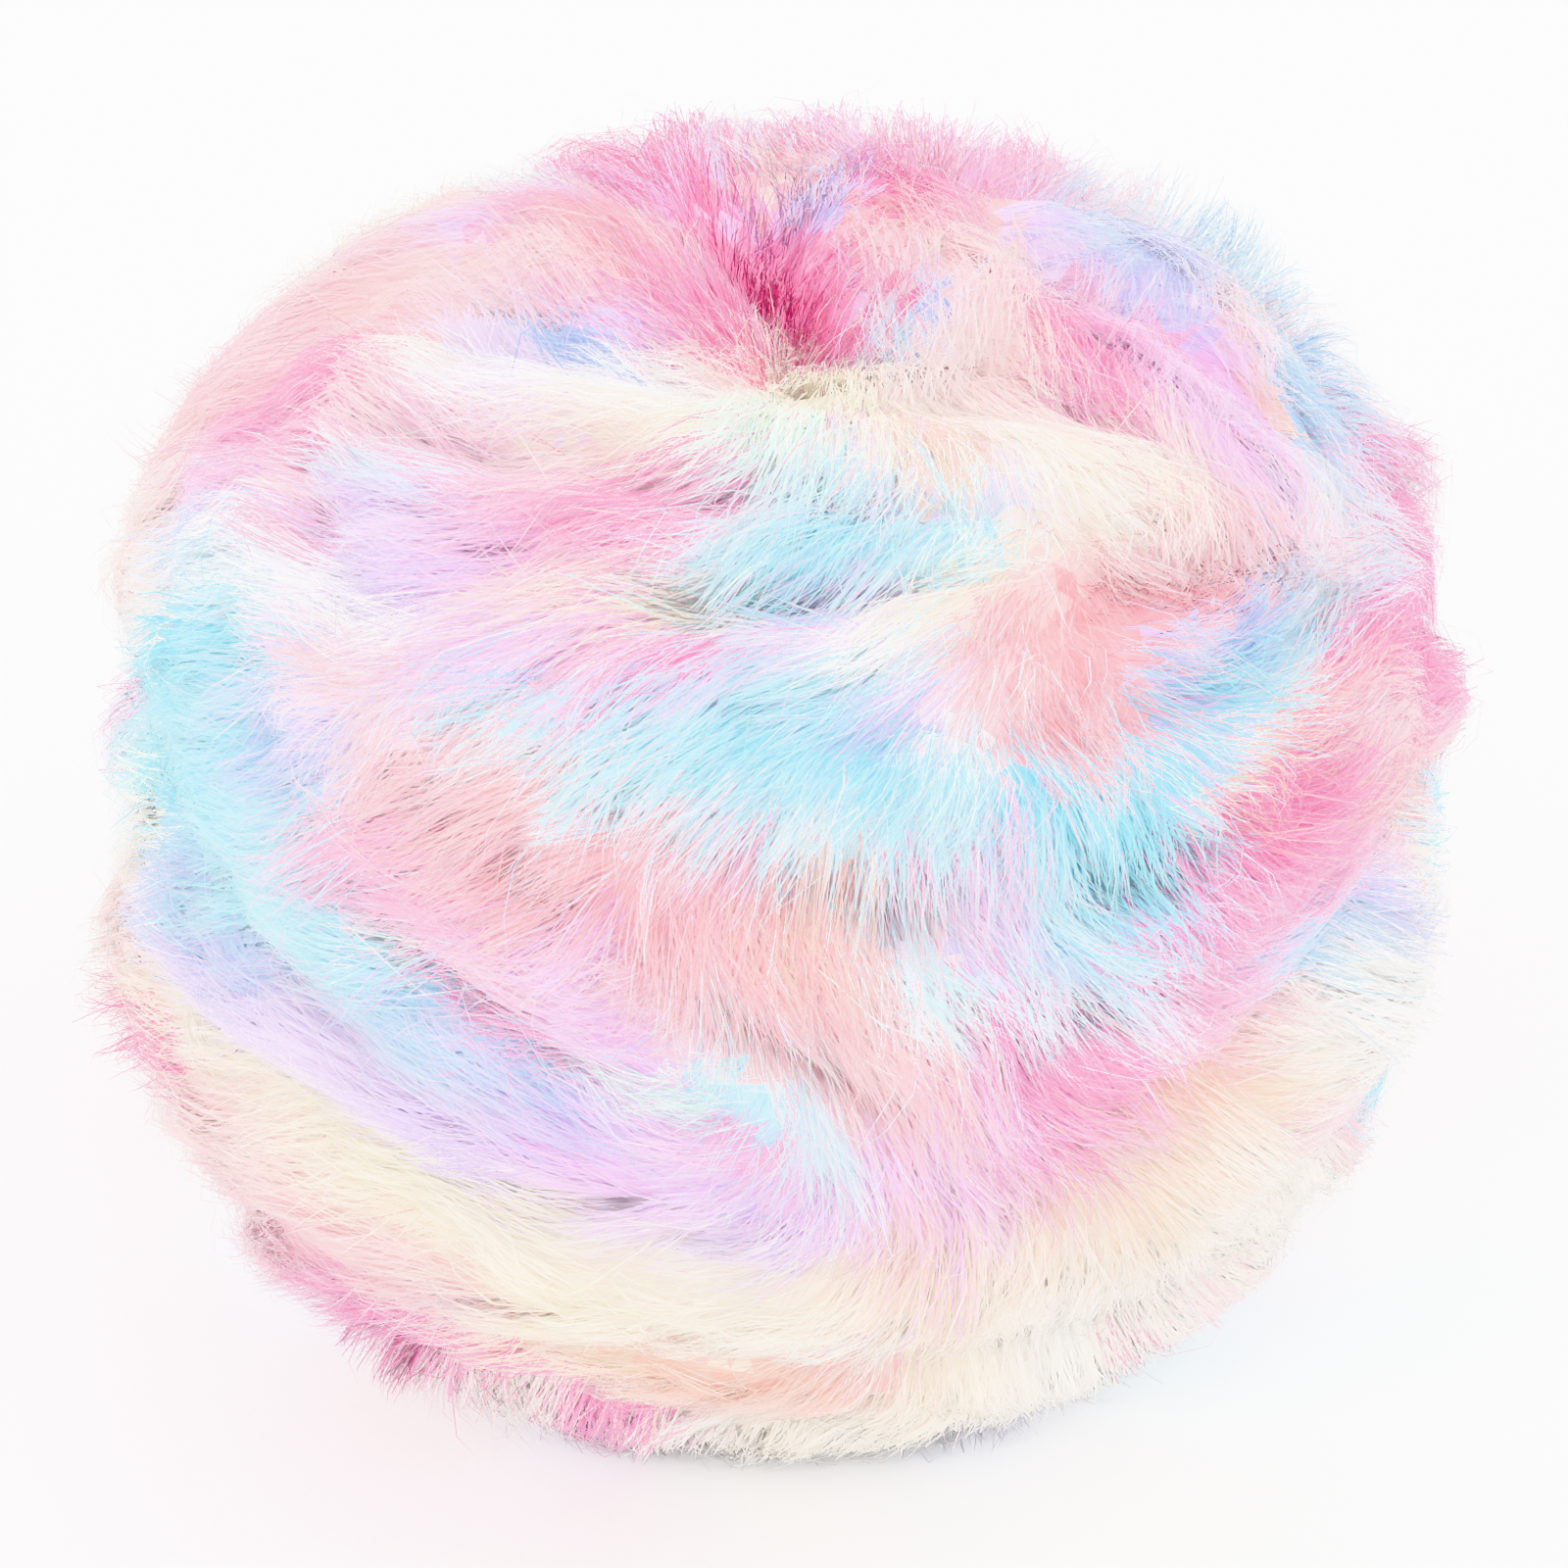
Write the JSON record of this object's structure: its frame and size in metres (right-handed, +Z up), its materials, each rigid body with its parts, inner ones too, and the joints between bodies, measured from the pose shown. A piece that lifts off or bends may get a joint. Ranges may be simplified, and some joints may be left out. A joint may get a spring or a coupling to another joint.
{
  "type": "ball of faux fur yarn",
  "caption": "Ball of thick, long-piled faux fur yarn, wound in crossing wraps with a hollow at the top and a small flat spot to rest on.",
  "frame": {"origin": "middle of the flat spot that the ball rests on", "axes": "+Z up, along the winding's axis out of the hollow at the top; -Y is the front"},
  "size_m": [0.1406, 0.1436, 0.1208],
  "materials": {
    "fur": "long soft pile, dyed in pastel pinks, aqua, lavender, cream and peach"
  },
  "bodies": {
    "root": {"yarn_ball": "fur"}
  },
  "joints": []
}
